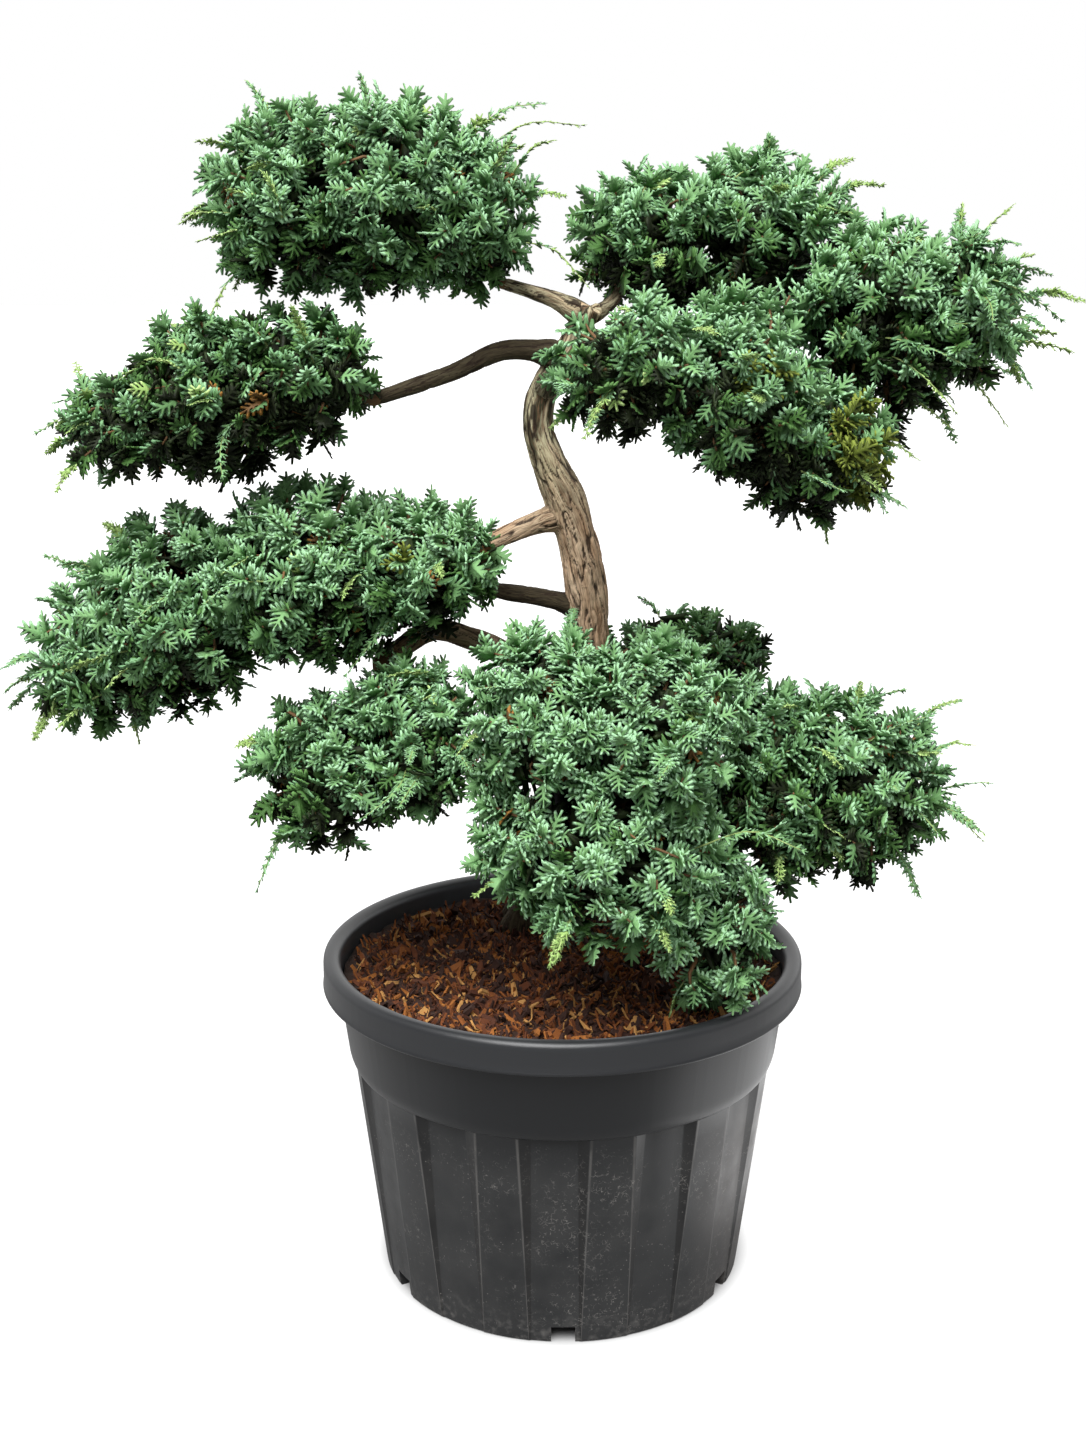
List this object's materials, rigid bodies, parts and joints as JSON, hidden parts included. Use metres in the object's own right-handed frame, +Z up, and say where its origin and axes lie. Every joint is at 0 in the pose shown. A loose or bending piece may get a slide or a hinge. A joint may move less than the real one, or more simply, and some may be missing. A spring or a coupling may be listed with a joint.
{
  "type": "cloud-pruned juniper in a nursery pot",
  "caption": "Garden juniper trained as a large bonsai, with a bent leaning trunk and cloud-shaped pads of foliage, standing in a ribbed round plastic pot filled with bark mulch.",
  "frame": {"origin": "centre of the pot's flat underside", "axes": "+Z up; -Y towards the plant's best side, which the picture shows; +X to the right of that side"},
  "size_m": [1.2555, 0.6944, 1.4693],
  "materials": {
    "pot": "satin charcoal polypropylene",
    "mulch": "rough shredded bark",
    "bark": "fibrous grey-brown bark",
    "foliage": "matt blue-green scale leaves"
  },
  "bodies": {
    "root": {"pot": "pot", "soil": "mulch", "trunk": "bark", "bough_top_left": "bark", "bough_top_right": "bark", "bough_middle_left": "bark", "bough_lower_left_upper": "bark", "bough_lower_left_under": "bark", "bough_low_left": "bark", "bough_low_front": "bark", "bough_low_right": "bark", "bough_low_rear": "bark", "bough_right": "bark", "bough_right_front": "bark", "foliage_top_left": "foliage", "foliage_middle_left": "foliage", "foliage_lower_left": "foliage", "foliage_low_left": "foliage", "foliage_low_front": "foliage", "foliage_low_right": "foliage", "foliage_low_rear": "foliage", "foliage_top_right": "foliage", "foliage_right": "foliage", "foliage_right_front": "foliage"}
  },
  "joints": []
}
